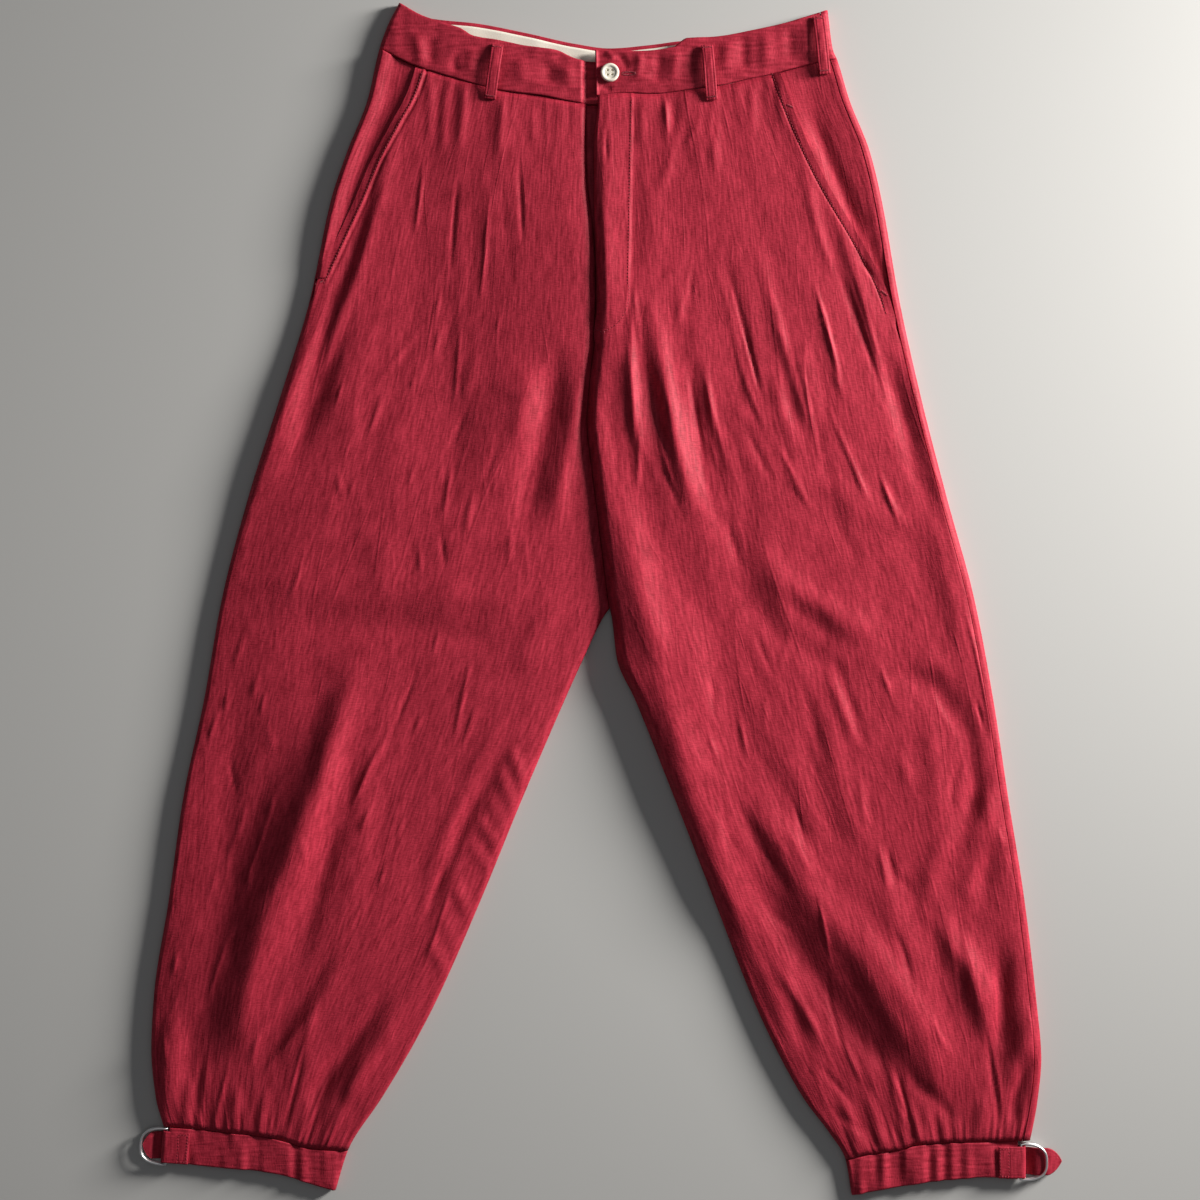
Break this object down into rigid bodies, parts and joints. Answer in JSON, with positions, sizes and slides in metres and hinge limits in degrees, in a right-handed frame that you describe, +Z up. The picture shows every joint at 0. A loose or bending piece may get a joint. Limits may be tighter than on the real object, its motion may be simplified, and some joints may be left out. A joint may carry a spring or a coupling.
{
  "type": "cropped trousers",
  "caption": "Cropped trousers with full legs gathered into buckled cuffs, slanted pockets, belt loops and a buttoned waistband, laid out flat.",
  "frame": {"origin": "middle of the outline, on the surface that the trousers lie on", "axes": "+Y towards the waist, +X towards the wearer's left, +Z up out of the front"},
  "size_m": [0.7854, 1.015, 0.0172],
  "materials": {
    "crimson_cloth": "crinkled, slightly lustrous",
    "cream_lining": "smooth woven",
    "cream_button": "satin",
    "ring_metal": "polished"
  },
  "bodies": {
    "root": {"front_right_leg": "crimson_cloth", "front_left_leg": "crimson_cloth", "back_right_leg": "crimson_cloth", "back_left_leg": "crimson_cloth", "pocket_facing_right": "crimson_cloth", "pocket_facing_left": "crimson_cloth", "fly_shield": "crimson_cloth", "waistband_front_right": "crimson_cloth", "waistband_front_left": "crimson_cloth", "waistband_back": "crimson_cloth", "belt_loop_front_right": "crimson_cloth", "belt_loop_front_left": "crimson_cloth", "belt_loop_side_left": "crimson_cloth", "cuff_right": "crimson_cloth", "cuff_left": "crimson_cloth", "cuff_tab_right": "crimson_cloth", "cuff_tab_left": "crimson_cloth", "strap_right": "crimson_cloth", "strap_left": "crimson_cloth", "waistband_lining": "cream_lining", "button": "cream_button", "d_ring_upper_right": "ring_metal", "d_ring_lower_right": "ring_metal", "d_ring_upper_left": "ring_metal", "d_ring_lower_left": "ring_metal"}
  },
  "joints": []
}
